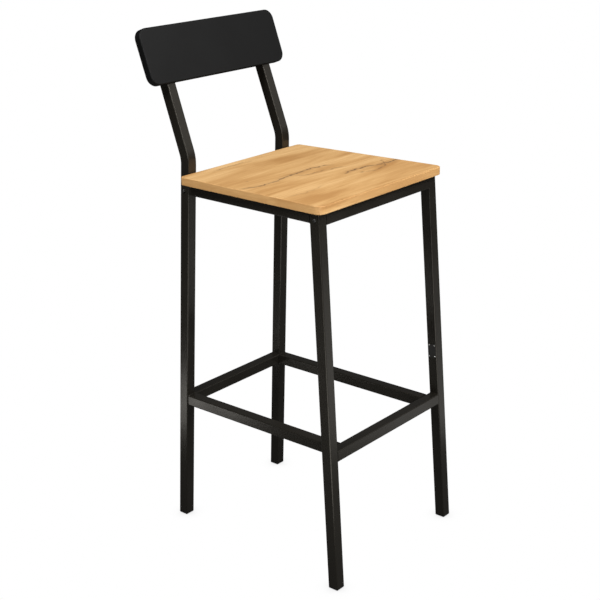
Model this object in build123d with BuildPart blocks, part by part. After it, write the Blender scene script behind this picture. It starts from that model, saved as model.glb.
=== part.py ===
"""Bar stool with footrest: square steel tube frame, wooden seat board and a panel back.

Millimetres, +Z up. The stool faces -Y, X runs across it, and the floor is Z = 0.
The origin is on the floor, in the middle of the stool's overall width and depth.
"""
from build123d import *
import os
from math import atan2, degrees

os.makedirs("parts", exist_ok=True)

# ---------------------------------------------------------------- driving dimensions
FRAME_TOP = 740.0          # top of the seat frame, which the seat board lies on
FOOTREST_TOP = 282.0       # top of the footrest ring
BEND_HEIGHT = 783.5        # where the rear legs' centre lines turn back into the uprights
BACK_LEAN = 19.4           # degrees the uprights lean back from the vertical

TUBE = 22.0                # square tube of the legs and the footrest
TUBE_WALL = 1.5
TUBE_CORNER = 2.2          # outer corner radius of every tube
BEND_RADIUS = 60.0         # centre line radius of the bend in the rear legs
SEAT_RAIL_DEPTH = 20.0     # seat rails across the stool are 20 x 25 tube, set on edge
SEAT_RAIL_HEIGHT = 25.0
FRONT_RAIL_DROP = 0.6      # keeps the leaning front rail's upper edge under the seat board
REAR_RAIL_DROP = 8.0       # the rear seat rail sits this much lower than the front one
SIDE_RAIL = 20.0           # the seat's side rails are 20 mm square tube
SIDE_RAIL_DROP = {"front": 0.3, "rear": 7.3}     # so they fall a little towards the rear
FOOTREST_INSET = 2.3       # the footrest's side rails sit this far inside the rear legs' faces
OVERRUN = 30.0             # stock left beyond a cut, then trimmed off

# Centre lines of the legs: half the spacing across, and the place front to back.
FRONT_FOOT = (181.0, -234.6)
FRONT_HEAD = (169.0, -193.1)
REAR_FOOT = (148.3, 205.7)
REAR_HEAD = (139.0, 158.9)
HEAD_HEIGHT = FRAME_TOP - SEAT_RAIL_HEIGHT / 2   # height at which the heads are measured

SEAT_THICKNESS = 16.0
SEAT_FRONT_WIDTH = 378.0
SEAT_REAR_WIDTH = 353.0
SEAT_FRONT_Y = -215.1
SEAT_REAR_Y = 144.4
SEAT_FRONT_CORNER = 15.0
SEAT_REAR_CORNER = 9.0
EDGE_BAND = 2.0            # thickness of the banding round the seat board
EDGE_ROUND = 1.8           # rounding on the banding's outer edges

BACK_WIDTH = 378.0
BACK_HEIGHT = 110.0
BACK_THICKNESS = 16.0
BACK_CORNER = 20.0
BACK_EDGE_ROUND = 2.0
BACK_START = 146.4         # from the bend, up along the uprights, to the panel's lower edge
BACK_HOUSING = 8.6         # how deep the uprights are let into the panel
HOUSING_GAP = 0.3          # clearance round an upright in its housing
UPRIGHT_END = 92.0         # how far the tube runs up behind the panel

GLIDE_PAD = 4.0            # thickness of a foot glide under the tube
GLIDE_PLUG = 18.0          # how far a glide reaches up inside the tube
CAP_HEAD = 3.0

TAB = (26.0, 24.0, 3.0)    # welded seat bracket: along the rail, into the frame, thickness
TAB_FLANGE = 12.0          # how far a bracket reaches down the rail's inner face
TAB_SPREAD = 105.0         # brackets lie this far before and behind a side rail's middle

FLOOR = Plane.XY
SIDES = {"left": -1, "right": 1}
ENDS = {"front": (FRONT_FOOT, FRONT_HEAD), "rear": (REAR_FOOT, REAR_HEAD)}


# ---------------------------------------------------------------- places worked out from them
def leg_axis(side, end):
    """A leg's foot point and its direction, from the floor up."""
    foot, head = ENDS[end]
    start = Vector(side * foot[0], foot[1], 0)
    return start, (Vector(side * head[0], head[1], HEAD_HEIGHT) - start).normalized()


def leg_frame(side, end, height):
    """Plane across a leg at a height: local X across the stool, local Y to the rear, Z up the leg."""
    start, direction = leg_axis(side, end)
    return Plane(origin=start + direction * (height / direction.Z), x_dir=(1, 0, 0), z_dir=direction)


def inner_face(side, end, height):
    """A leg's face towards the middle of the stool, with the normal pointing there."""
    frame = leg_frame(side, end, height)
    return Plane(origin=frame.origin - frame.x_dir * side * TUBE / 2, z_dir=frame.x_dir * -side)


def facing_side(side, end, height):
    """A front leg's rear face or a rear leg's front face, with the normal pointing to the other."""
    frame = leg_frame(side, end, height)
    inward = frame.y_dir if end == "front" else frame.y_dir * -1
    return Plane(origin=frame.origin + inward * TUBE / 2, z_dir=inward)


def cross_rail_plane(end, height, shift):
    """Section plane of a rail that runs across the stool in the leaning plane of a pair of legs."""
    frame = leg_frame(1, end, height)
    centre = Vector(0, frame.origin.Y, frame.origin.Z) + frame.y_dir * shift
    return Plane(origin=centre, x_dir=frame.y_dir, z_dir=(1, 0, 0))


def side_rail_plane(rear_point, front_point):
    """Section plane halfway along a rail from back to front: local X is the stool's X, Y is up."""
    along = (front_point - rear_point).normalized()
    return Plane(origin=(rear_point + front_point) / 2, x_dir=Vector(0, 0, 1).cross(along), z_dir=along)


def tube_section(width, height):
    """Profile of a square or flat tube, drawn in the sketch that is open."""
    RectangleRounded(width, height, TUBE_CORNER)
    inner = TUBE_CORNER - TUBE_WALL
    RectangleRounded(width - 2 * TUBE_WALL, height - 2 * TUBE_WALL, inner, mode=Mode.SUBTRACT)


def save(part, name):
    part.label = name
    export_step(part, f"parts/{name}.step")


rail_shift = (TUBE - SEAT_RAIL_DEPTH) / 2        # seat rails are flush with the legs outside
rail_height = {"front": HEAD_HEIGHT - FRONT_RAIL_DROP, "rear": HEAD_HEIGHT - REAR_RAIL_DROP}
cross_shift = {"front": -rail_shift, "rear": rail_shift}
footrest_height = FOOTREST_TOP - TUBE / 2

# ---------------------------------------------------------------- frame bolts through the leg heads
BOLT_R = 3.0
BOLT_HEAD_R = 5.25
BOLT_HEAD_HEIGHT = 3.3
BOLT_HEAD_TAPER = 22       # degrees, for the button head's sloping sides
BOLT_LENGTH = 34.0
BOLT_SOCKET = 4.0          # across the flats of the hexagon socket
BOLT_SOCKET_DEPTH = 2.0
BOLT_CLEARANCE_R = 3.2
END_PLATE = 5.0            # thickness of the tapped plate welded into a cross rail's end
END_PLATE_GAP = 0.4        # clearance of the plate in the rail's bore, across its width
END_PLATE_CORNER = 1.0


def bolt_plane(side, end):
    """Outer face of a leg at a bolt: the normal points out of the stool."""
    frame = leg_frame(side, end, rail_height[end])
    centre = frame.origin + frame.y_dir * cross_shift[end] + frame.x_dir * side * TUBE / 2
    return Plane(origin=centre, x_dir=frame.y_dir, z_dir=frame.x_dir * side)


# ---------------------------------------------------------------- front legs
PLATE = (17.0, 29.0, 0.8)                        # blank rating plate, across, up and thick
PLATE_CORNER = 1.5
PLATE_HEIGHT = 376.0
RIVET_SPACING = (12.5, 24.0)
RIVET_R = 1.0
RIVET_HEAD_R = 1.5
RIVET_HEAD = 0.9
RIVET_HEAD_TAPER = 25
RIVET_REACH = 2.5                                # shank below the plate's outer face
RIVET_HOLE = 3.0                                 # deeper than the tube wall it passes through
plate_face = inner_face(1, "front", PLATE_HEIGHT)
plate_plane = Plane(origin=plate_face.origin, x_dir=leg_frame(1, "front", PLATE_HEIGHT).y_dir,
                    z_dir=plate_face.z_dir)

for side_name, side in SIDES.items():
    with BuildPart() as front_leg:
        with BuildSketch(leg_frame(side, "front", -OVERRUN)):
            tube_section(TUBE, TUBE)
        extrude(amount=FRAME_TOP + 2 * OVERRUN)
        split(bisect_by=FLOOR.offset(GLIDE_PAD), keep=Keep.TOP)
        split(bisect_by=FLOOR.offset(FRAME_TOP), keep=Keep.BOTTOM)
        with BuildSketch(bolt_plane(side, "front")):
            Circle(BOLT_CLEARANCE_R)
        extrude(amount=-TUBE, mode=Mode.SUBTRACT)
        if side_name == "right":
            with BuildSketch(plate_plane):
                with GridLocations(*RIVET_SPACING, 2, 2):
                    Circle(RIVET_R)
            extrude(amount=-RIVET_HOLE, mode=Mode.SUBTRACT)
    save(front_leg.part, f"{side_name}_front_leg")

# ---------------------------------------------------------------- rear legs, bent into uprights
upright_length = BACK_START + UPRIGHT_END
SCREW_R = 2.1
SCREW_HOLE_R = 2.4
SCREW_HEAD_R = 4.1
SCREW_HEAD = 2.4
SCREW_HEAD_TAPER = 15
BACK_SCREW_ROWS = (25.0, 70.0)                   # above the panel's lower edge
BACK_SCREW_BITE = 5.5                            # how far a screw reaches into the panel


def upright_axis(side):
    """The point where a rear leg bends, and the direction of the upright above it."""
    lower = leg_frame(side, "rear", BEND_HEIGHT)
    lean = degrees(atan2(lower.z_dir.Y, lower.z_dir.Z))
    turned = lower.z_dir.rotate(Axis((0, 0, 0), lower.x_dir), lean - BACK_LEAN)
    return lower.origin, turned


def upright_frame(side, run):
    """Plane across an upright: local Y points to the rear."""
    bend, direction = upright_axis(side)
    across = leg_frame(side, "rear", BEND_HEIGHT).x_dir
    return Plane(origin=bend + direction * run, x_dir=across, z_dir=direction)


def upright_rear_plane(side, run):
    """Rear face of an upright at a distance from the bend, with the normal pointing to the rear."""
    frame = upright_frame(side, run)
    return Plane(origin=frame.origin + frame.y_dir * TUBE / 2, x_dir=frame.x_dir, z_dir=frame.y_dir)


for side_name, side in SIDES.items():
    start, direction = leg_axis(side, "rear")
    bend, back_direction = upright_axis(side)
    with BuildPart() as rear_leg:
        with BuildLine() as centre_line:
            FilletPolyline(start - direction * OVERRUN, bend, bend + back_direction * upright_length,
                           radius=BEND_RADIUS)
        with BuildSketch(leg_frame(side, "rear", -OVERRUN * direction.Z)):
            tube_section(TUBE, TUBE)
        sweep(path=centre_line.line)
        split(bisect_by=FLOOR.offset(GLIDE_PAD), keep=Keep.TOP)
        with BuildSketch(bolt_plane(side, "rear")):
            Circle(BOLT_CLEARANCE_R)
        extrude(amount=-TUBE, mode=Mode.SUBTRACT)
        for row in BACK_SCREW_ROWS:
            with BuildSketch(upright_rear_plane(side, BACK_START + row)):
                Circle(SCREW_HOLE_R)
            extrude(amount=-TUBE, mode=Mode.SUBTRACT)
    save(rear_leg.part, f"{side_name}_rear_leg")

# ---------------------------------------------------------------- rails across the stool
for end in ENDS:
    with BuildPart() as seat_rail:
        with BuildSketch(cross_rail_plane(end, rail_height[end], cross_shift[end])):
            tube_section(SEAT_RAIL_DEPTH, SEAT_RAIL_HEIGHT)
        extrude(amount=FRONT_HEAD[0], both=True)
        for side in SIDES.values():
            split(bisect_by=inner_face(side, end, rail_height[end]), keep=Keep.TOP)
    save(seat_rail.part, f"seat_{end}_rail")

    with BuildPart() as footrest_rail:
        with BuildSketch(cross_rail_plane(end, footrest_height, 0)):
            tube_section(TUBE, TUBE)
        extrude(amount=FRONT_FOOT[0], both=True)
        for side in SIDES.values():
            split(bisect_by=inner_face(side, end, footrest_height), keep=Keep.TOP)
    save(footrest_rail.part, f"footrest_{end}_rail")

# ---------------------------------------------------------------- rails from back to front
side_frames = {}
for side_name, side in SIDES.items():
    points = {}
    for end in ENDS:
        face = facing_side(side, end, HEAD_HEIGHT).origin
        height = FRAME_TOP - SIDE_RAIL_DROP[end] - SIDE_RAIL / 2
        points[end] = Vector(face.X + side * (TUBE - SIDE_RAIL) / 2, face.Y, height)
    side_frames[side_name] = side_rail_plane(points["rear"], points["front"])
    with BuildPart() as seat_rail:
        with BuildSketch(side_frames[side_name]):
            tube_section(SIDE_RAIL, SIDE_RAIL)
        extrude(amount=(points["rear"] - points["front"]).length / 2 + OVERRUN, both=True)
        for end in ENDS:
            split(bisect_by=facing_side(side, end, HEAD_HEIGHT), keep=Keep.TOP)
    save(seat_rail.part, f"seat_{side_name}_rail")

    # The footrest's side rails run straight forward from the rear legs to the front rail.
    rear_point = leg_frame(side, "rear", footrest_height).origin - Vector(side * FOOTREST_INSET, 0, 0)
    front_point = Vector(rear_point.X, leg_frame(side, "front", footrest_height).origin.Y, rear_point.Z)
    with BuildPart() as footrest_rail:
        with BuildSketch(side_rail_plane(rear_point, front_point)):
            tube_section(TUBE, TUBE)
        extrude(amount=(rear_point - front_point).length / 2, both=True)
        for end in ENDS:
            split(bisect_by=facing_side(side, end, footrest_height), keep=Keep.TOP)
    save(footrest_rail.part, f"footrest_{side_name}_rail")

# ---------------------------------------------------------------- tapped plates in the cross rails
for end in ENDS:
    with BuildPart() as end_plates:
        for side in SIDES.values():
            outer = bolt_plane(side, end)
            seat = Plane(origin=outer.origin - outer.z_dir * TUBE, x_dir=outer.x_dir,
                         z_dir=outer.z_dir * -1)
            with BuildSketch(seat):
                RectangleRounded(SEAT_RAIL_DEPTH - 2 * TUBE_WALL - END_PLATE_GAP,
                                 SEAT_RAIL_HEIGHT - 2 * TUBE_WALL - 2 * END_PLATE_GAP, END_PLATE_CORNER)
                Circle(BOLT_R, mode=Mode.SUBTRACT)
            extrude(amount=END_PLATE)
    save(end_plates.part, f"seat_{end}_rail_plates")

# ---------------------------------------------------------------- frame bolts
with BuildPart() as frame_bolts:
    for end in ENDS:
        for side in SIDES.values():
            face = bolt_plane(side, end)
            with BuildSketch(face):
                Circle(BOLT_R)
            extrude(amount=-BOLT_LENGTH)
            with BuildSketch(face):
                Circle(BOLT_HEAD_R)
            extrude(amount=BOLT_HEAD_HEIGHT, taper=BOLT_HEAD_TAPER)
            with BuildSketch(face.offset(BOLT_HEAD_HEIGHT)):
                RegularPolygon(radius=BOLT_SOCKET / 2, side_count=6, major_radius=False)
            extrude(amount=-BOLT_SOCKET_DEPTH, mode=Mode.SUBTRACT)
save(frame_bolts.part, "frame_bolts")

# ---------------------------------------------------------------- brackets that hold the seat board
TAB_CORNER = 5.0
TAB_BEND = 1.0             # inside radius of the bent bracket
tab_places = {}
for side_name, side in SIDES.items():
    rail = side_frames[side_name]
    inward = rail.x_dir * -side
    for end, step in (("front", TAB_SPREAD), ("rear", -TAB_SPREAD)):
        root = rail.origin + rail.z_dir * step + inward * SIDE_RAIL / 2
        root = Vector(root.X, root.Y, FRAME_TOP - TAB[2])
        leaf = Plane(origin=root + inward * TAB[1] / 2, x_dir=inward, z_dir=(0, 0, 1))
        tab_places[f"{side_name}_{end}"] = leaf
        with BuildPart() as seat_tab:
            with BuildSketch(leaf) as profile:
                Rectangle(TAB[1], TAB[0])
                fillet(profile.vertices().group_by(Axis.X)[-1], TAB_CORNER)
                Circle(SCREW_HOLE_R, mode=Mode.SUBTRACT)
            extrude(amount=TAB[2])
            flange = Plane(origin=root + inward * TAB[2] / 2, x_dir=inward, z_dir=(0, 0, 1))
            with BuildSketch(flange):
                Rectangle(TAB[2], TAB[0])
            extrude(amount=TAB[2] - TAB_FLANGE)
            crook = root + inward * TAB[2]
            along = seat_tab.edges().filter_by(Axis(root, leaf.y_dir))
            fillet(along.sort_by(lambda edge: (edge.center() - crook).length)[0], TAB_BEND)
        save(seat_tab.part, f"seat_tab_{side_name}_{end}")

# ---------------------------------------------------------------- seat board and its banding
SEAT_SCREW_LENGTH = 15.0


def seat_outline(inset):
    """Tapered seat with rounded corners, drawn in the sketch that is open."""
    front = SEAT_FRONT_WIDTH / 2 - inset
    rear = SEAT_REAR_WIDTH / 2 - inset
    near_y = SEAT_FRONT_Y + inset
    far_y = SEAT_REAR_Y - inset
    Polygon((-front, near_y), (front, near_y), (rear, far_y), (-rear, far_y), align=None)


def round_corners(outline, inset):
    """Rounds the board's two front corners and its two tighter rear ones."""
    fillet(outline.vertices().group_by(Axis.Y)[0], SEAT_FRONT_CORNER - inset)
    fillet(outline.vertices().group_by(Axis.Y)[-1], SEAT_REAR_CORNER - inset)


with BuildPart() as seat_board:
    with BuildSketch(FLOOR.offset(FRAME_TOP)) as outline:
        seat_outline(EDGE_BAND)
        round_corners(outline, EDGE_BAND)
    extrude(amount=SEAT_THICKNESS)
    for plane in tab_places.values():
        with BuildSketch(Plane(origin=(plane.origin.X, plane.origin.Y, FRAME_TOP))):
            Circle(SCREW_R)
        extrude(amount=SEAT_SCREW_LENGTH - TAB[2], mode=Mode.SUBTRACT)
save(seat_board.part, "seat_board")

with BuildPart() as seat_edge_band:
    with BuildSketch(FLOOR.offset(FRAME_TOP)) as outline:
        seat_outline(0)
        round_corners(outline, 0)
    extrude(amount=SEAT_THICKNESS)
    fillet(seat_edge_band.faces().sort_by(Axis.Z)[-1].edges(), EDGE_ROUND)
    fillet(seat_edge_band.faces().sort_by(Axis.Z)[0].edges(), EDGE_ROUND)
    with BuildSketch(FLOOR.offset(FRAME_TOP)) as core:
        seat_outline(EDGE_BAND)
        round_corners(core, EDGE_BAND)
    extrude(amount=SEAT_THICKNESS, mode=Mode.SUBTRACT)
save(seat_edge_band.part, "seat_edge_band")

with BuildPart() as seat_screws:
    for plane in tab_places.values():
        with BuildSketch(plane):
            Circle(SCREW_R)
        extrude(amount=SEAT_SCREW_LENGTH)
        with BuildSketch(plane):
            Circle(SCREW_HEAD_R)
        extrude(amount=-SCREW_HEAD, taper=SCREW_HEAD_TAPER)
save(seat_screws.part, "seat_screws")

# ---------------------------------------------------------------- backrest panel
bend_middle = Vector(0, upright_axis(1)[0].Y, upright_axis(1)[0].Z)
back_slope = upright_axis(1)[1]
back_up = Vector(0, back_slope.Y, back_slope.Z).normalized()
back_front = Vector(0, -back_up.Z, back_up.Y)
back_centre = (bend_middle + back_up * (BACK_START + BACK_HEIGHT / 2)
               + back_front * (TUBE / 2 - BACK_HOUSING))
back_plane = Plane(origin=back_centre, x_dir=(1, 0, 0), z_dir=back_front)

with BuildPart() as backrest_panel:
    with BuildSketch(back_plane):
        RectangleRounded(BACK_WIDTH, BACK_HEIGHT, BACK_CORNER)
    extrude(amount=BACK_THICKNESS)
    rims = backrest_panel.faces().filter_by(lambda face: face.area > BACK_WIDTH * BACK_HEIGHT / 2).edges()
    fillet(rims, BACK_EDGE_ROUND)
    for side in SIDES.values():
        with BuildSketch(upright_frame(side, BACK_START - OVERRUN)):
            Rectangle(TUBE + 2 * HOUSING_GAP, TUBE + 2 * HOUSING_GAP)
        extrude(amount=OVERRUN + UPRIGHT_END + CAP_HEAD + HOUSING_GAP, mode=Mode.SUBTRACT)
        for row in BACK_SCREW_ROWS:
            with BuildSketch(upright_rear_plane(side, BACK_START + row).offset(-TUBE)):
                Circle(SCREW_R)
            extrude(amount=-BACK_SCREW_BITE, mode=Mode.SUBTRACT)
save(backrest_panel.part, "backrest_panel")

with BuildPart() as backrest_screws:
    for side in SIDES.values():
        for row in BACK_SCREW_ROWS:
            face = upright_rear_plane(side, BACK_START + row)
            with BuildSketch(face):
                Circle(SCREW_R)
            extrude(amount=-TUBE - BACK_SCREW_BITE)
            with BuildSketch(face):
                Circle(SCREW_HEAD_R)
            extrude(amount=SCREW_HEAD, taper=SCREW_HEAD_TAPER)
save(backrest_screws.part, "backrest_screws")

# ---------------------------------------------------------------- plastic plugs in the tube ends
PLUG_CORE = 15.0
PLUG_CORE_CORNER = 1.0
PLUG_GAP = 0.1             # a rib's clearance in the tube's bore, across its width
PLUG_RIB = TUBE - 2 * TUBE_WALL - PLUG_GAP
PLUG_RIB_CORNER = 0.6
PLUG_RIB_THICKNESS = 1.2
PLUG_ROOT = 1.0            # a glide's plug starts this far down in its pad
RIB_STEPS = (3.0, 7.5, 12.0)
GLIDE_EDGE = 1.2


def plug(plane, depth):
    """Ribbed plug that is driven into a tube's end, in the part that is open."""
    with BuildSketch(plane) as core:
        RectangleRounded(PLUG_CORE, PLUG_CORE, PLUG_CORE_CORNER)
    extrude(core.sketch, amount=depth)
    for step in RIB_STEPS:
        with BuildSketch(plane.offset(step)) as rib:
            RectangleRounded(PLUG_RIB, PLUG_RIB, PLUG_RIB_CORNER)
        extrude(rib.sketch, amount=PLUG_RIB_THICKNESS)


for side_name, side in SIDES.items():
    for end in ENDS:
        with BuildPart() as foot_glide:
            with BuildSketch(leg_frame(side, end, -OVERRUN)):
                RectangleRounded(TUBE, TUBE, TUBE_CORNER)
            extrude(amount=2 * OVERRUN)
            split(bisect_by=FLOOR, keep=Keep.TOP)
            split(bisect_by=FLOOR.offset(GLIDE_PAD), keep=Keep.BOTTOM)
            chamfer(foot_glide.faces().sort_by(Axis.Z)[0].edges(), GLIDE_EDGE)
            plug(leg_frame(side, end, GLIDE_PAD - PLUG_ROOT), GLIDE_PLUG)
        save(foot_glide.part, f"foot_glide_{side_name}_{end}")

    tube_end = upright_frame(side, upright_length)
    with BuildPart() as upright_cap:
        with BuildSketch(tube_end):
            RectangleRounded(TUBE, TUBE, TUBE_CORNER)
        extrude(amount=CAP_HEAD)
        fillet(upright_cap.faces().sort_by(Axis.Z)[-1].edges(), GLIDE_EDGE)
        down = Plane(origin=tube_end.origin, x_dir=tube_end.x_dir, z_dir=tube_end.z_dir * -1)
        plug(down, GLIDE_PLUG)
    save(upright_cap.part, f"upright_cap_{side_name}")

# ---------------------------------------------------------------- blank plate and its rivets
with BuildPart() as rating_plate:
    with BuildSketch(plate_plane):
        RectangleRounded(PLATE[0], PLATE[1], PLATE_CORNER)
        with GridLocations(*RIVET_SPACING, 2, 2):
            Circle(RIVET_R, mode=Mode.SUBTRACT)
    extrude(amount=PLATE[2])
save(rating_plate.part, "rating_plate")

with BuildPart() as plate_rivets:
    with BuildSketch(plate_plane.offset(PLATE[2])):
        with GridLocations(*RIVET_SPACING, 2, 2):
            Circle(RIVET_R)
    extrude(amount=-RIVET_REACH)
    with BuildSketch(plate_plane.offset(PLATE[2])):
        with GridLocations(*RIVET_SPACING, 2, 2):
            Circle(RIVET_HEAD_R)
    extrude(amount=RIVET_HEAD, taper=RIVET_HEAD_TAPER)
save(plate_rivets.part, "plate_rivets")
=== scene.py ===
# %% [markdown]
# # A bar stool with a footrest
#
# The stool's tubes, board, panel, bolts and feet come from a finished CAD model, which fixes every
# size and place. This lesson adds what the eye looks for: weld beads in the corners, domed bolt
# heads, screws with a cross recess, black powder coat, an oak board with cracks in it, and light.

# %% Load the model
import bmesh
import bpy
import math
from mathutils import Matrix, Vector
from mathutils.bvhtree import BVHTree


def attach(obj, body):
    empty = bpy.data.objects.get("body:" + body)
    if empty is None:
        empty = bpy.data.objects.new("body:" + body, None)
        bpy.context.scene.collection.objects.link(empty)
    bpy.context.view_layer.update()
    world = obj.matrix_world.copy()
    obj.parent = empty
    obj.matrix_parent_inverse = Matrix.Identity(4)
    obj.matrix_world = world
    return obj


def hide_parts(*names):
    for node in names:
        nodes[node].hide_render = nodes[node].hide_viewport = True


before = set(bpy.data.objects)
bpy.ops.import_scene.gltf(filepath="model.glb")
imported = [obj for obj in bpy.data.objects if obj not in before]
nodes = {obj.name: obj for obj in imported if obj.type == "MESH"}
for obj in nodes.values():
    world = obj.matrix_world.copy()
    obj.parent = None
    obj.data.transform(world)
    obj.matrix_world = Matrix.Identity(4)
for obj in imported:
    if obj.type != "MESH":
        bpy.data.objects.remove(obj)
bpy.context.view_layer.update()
MM = 0.001

# %% [markdown]
# ## Small helpers for node trees
#
# A material or a Geometry Nodes tree built in a script is a list of nodes and wires. Two helpers
# keep that list readable: one adds a node and fills in its sockets by name, the other joins two.
# Sockets are found by name, so the script reads the way the node editor looks.


# %% Add a node and join two
def add(tree, kind, **sockets):
    """Adds a node. Sockets are given by name, with _ for a space."""
    node = tree.nodes.new(kind)
    for name, value in sockets.items():
        node.inputs[name.replace("_", " ")].default_value = value
    return node


def join(tree, source, output, target, socket):
    """Wires one node's output to another's input."""
    tree.links.new(source.outputs[output], target.inputs[socket])


def start_finish(name):
    """A new material with its shader and the piece's own coordinates."""
    material = bpy.data.materials.new(name)
    material.use_nodes = True
    tree = material.node_tree
    shader = tree.nodes["Principled BSDF"]
    place = tree.nodes.new("ShaderNodeTexCoord")
    return material, tree, shader, place


def stretched_noise(tree, vector, stretch, detail, socket="Object"):
    """Noise whose cells are 1/stretch metres long on each axis, for grain that runs one way."""
    mapping = add(tree, "ShaderNodeMapping", Scale=stretch)
    noise = add(tree, "ShaderNodeTexNoise", Scale=1.0, Detail=detail, Roughness=0.55)
    join(tree, vector, socket, mapping, "Vector")
    join(tree, mapping, "Vector", noise, "Vector")
    return noise


def remap(tree, source, output, low, high, new_low, new_high, smooth=False):
    """Turns one range of values into another, and stops at both ends."""
    node = add(tree, "ShaderNodeMapRange", From_Min=low, From_Max=high,
               To_Min=new_low, To_Max=new_high)
    node.interpolation_type = "SMOOTHSTEP" if smooth else "LINEAR"
    join(tree, source, output, node, "Value")
    return node


def bumped(tree, height, output, shader, distance, strength=1.0, under=None):
    """Relief on the shader's normal, laid over an earlier relief if one is given."""
    bump = add(tree, "ShaderNodeBump", Strength=strength, Distance=distance)
    join(tree, height, output, bump, "Height")
    if under is not None:
        join(tree, under, "Normal", bump, "Normal")
    join(tree, bump, "Normal", shader, "Normal")
    return bump


print("helpers ready:", ", ".join(f.__name__ for f in (add, join, start_finish, remap, bumped)))


# %% [markdown]
# ## Powder coat
#
# The frame is sprayed with black powder and baked. The paint flows a little before it sets, so it
# has a fine ripple like orange peel, about 2 mm from crest to crest, and a longer one you only
# notice in a reflection. It's satin: dark when seen straight on, with soft highlights where a
# tube's corner turns towards a light. Noise at two scales gives the ripples, and a third, slow
# noise makes the gloss uneven, as sprayed paint is.


# %% Make the powder coat
COAT_DARK = (0.0098, 0.0086, 0.0068, 1)
COAT_LIGHT = (0.0150, 0.0134, 0.0108, 1)
ORANGE_PEEL = 520
LONG_RIPPLE = 75


def powder_coat(name):
    """Satin black paint with a fine orange peel on a longer ripple."""
    material, tree, shader, place = start_finish(name)
    cloud = stretched_noise(tree, place, (14, 14, 14), 3)
    tone = add(tree, "ShaderNodeValToRGB")
    tone.color_ramp.elements[0].color = COAT_DARK
    tone.color_ramp.elements[1].color = COAT_LIGHT
    join(tree, cloud, "Fac", tone, "Fac")
    join(tree, tone, "Color", shader, "Base Color")
    gloss = remap(tree, cloud, "Fac", 0.3, 0.7, 0.21, 0.28)
    join(tree, gloss, "Result", shader, "Roughness")
    shader.inputs["Specular IOR Level"].default_value = 0.40
    shader.inputs["Specular Tint"].default_value = (1.0, 0.94, 0.83, 1)
    peel = stretched_noise(tree, place, (ORANGE_PEEL,) * 3, 2)
    wave = stretched_noise(tree, place, (LONG_RIPPLE,) * 3, 1)
    long_ripple = bumped(tree, wave, "Fac", shader, 0.00012, 0.5)
    bumped(tree, peel, "Fac", shader, 0.00006, 0.6, under=long_ripple)
    return material


frame_paint = powder_coat("powder_coat_black")
painted = [name for name in nodes
           if name.endswith(("_leg", "_rail")) or name.startswith("seat_tab")]


def coat(names, material):
    """Puts a finish on CAD nodes."""
    for name in names:
        for slot in nodes[name].material_slots:
            slot.material = material


coat(painted, frame_paint)
print("powder coat on", len(painted), "tubes and brackets")

# %% [markdown]
# ## The oak board
#
# The seat is a board faced with printed oak: golden, with long fibres across the seat, fine pores,
# and dark cracks with knots beside them. Grain is noise stretched a long way along X. A crack is
# the set of points close to a line, so it needs only the distance from that line: near it the
# colour goes dark, a little further off it goes brown, and a window along X says where the crack
# starts and stops. The pores and cracks are pressed into the face too, so they also lower the
# relief.

# %% Oak colours and how to mix them
OAK_LIGHT = (0.745, 0.475, 0.215, 1)
OAK_MIDDLE = (0.600, 0.350, 0.138, 1)
OAK_DARK = (0.455, 0.235, 0.080, 1)
CRACK_BROWN = (0.240, 0.120, 0.050, 1)
CRACK_DARK = (0.070, 0.038, 0.022, 1)
MIX_A, MIX_B, MIX_RESULT = 6, 7, 2      # a Mix node's colour sockets, which share their names


def mixed(tree, mask, output, under, under_output, colour):
    """Lays a colour over another through a mask."""
    mix = tree.nodes.new("ShaderNodeMix")
    mix.data_type = "RGBA"
    join(tree, mask, output, mix, "Factor")
    tree.links.new(under.outputs[under_output], mix.inputs[MIX_A])
    mix.inputs[MIX_B].default_value = colour
    return mix


def sums(tree, operation, a, b, socket_a="Value"):
    """A Math node: a is a node, b is a node or a number."""
    node = tree.nodes.new("ShaderNodeMath")
    node.operation = operation
    tree.links.new(a.outputs[socket_a], node.inputs[0])
    if isinstance(b, (int, float)):
        node.inputs[1].default_value = b
    else:
        tree.links.new(b.outputs["Value" if "Value" in b.outputs else 0], node.inputs[1])
    return node


# %% [markdown]
# The grain is three noises laid over one another, all stretched along the fibres: a broad figure
# for the bands of light and dark, thin fibres, and dark pores. A fingertip feels only the fibres
# and the pores, so only they reach the relief.


# %% Oak grain
def oak(tree, shader, vector, socket):
    """Fibres, bands of tone and pores, with the grain along the vector's X."""
    figure = stretched_noise(tree, vector, (3.2, 26, 26), 4, socket)
    figure.inputs["Distortion"].default_value = 0.6
    tone = add(tree, "ShaderNodeValToRGB")
    tone.color_ramp.elements[0].position = 0.34
    tone.color_ramp.elements[0].color = OAK_DARK
    tone.color_ramp.elements[1].position = 0.66
    tone.color_ramp.elements[1].color = OAK_LIGHT
    middle = tone.color_ramp.elements.new(0.48)
    middle.color = OAK_MIDDLE
    join(tree, figure, "Fac", tone, "Fac")
    fibre = stretched_noise(tree, vector, (14, 520, 520), 4, socket)
    fibre_mask = remap(tree, fibre, "Fac", 0.42, 0.70, 0.0, 0.55)
    fibred = mixed(tree, fibre_mask, "Result", tone, "Color", OAK_DARK)
    pore = stretched_noise(tree, vector, (55, 1500, 1500), 2, socket)
    pore_mask = remap(tree, pore, "Fac", 0.62, 0.74, 0.0, 0.45)
    pored = mixed(tree, pore_mask, "Result", fibred, MIX_RESULT, CRACK_BROWN)
    shader.inputs["Specular IOR Level"].default_value = 0.32
    gloss = remap(tree, fibre, "Fac", 0.3, 0.7, 0.46, 0.60)
    join(tree, gloss, "Result", shader, "Roughness")
    relief = bumped(tree, fibre, "Fac", shader, 0.00004, 0.5)
    relief = bumped(tree, pore_mask, "Result", shader, -0.00008, 0.6, under=relief)
    return pored, relief


print("oak tones from", OAK_DARK[:3], "to", OAK_LIGHT[:3])


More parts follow.
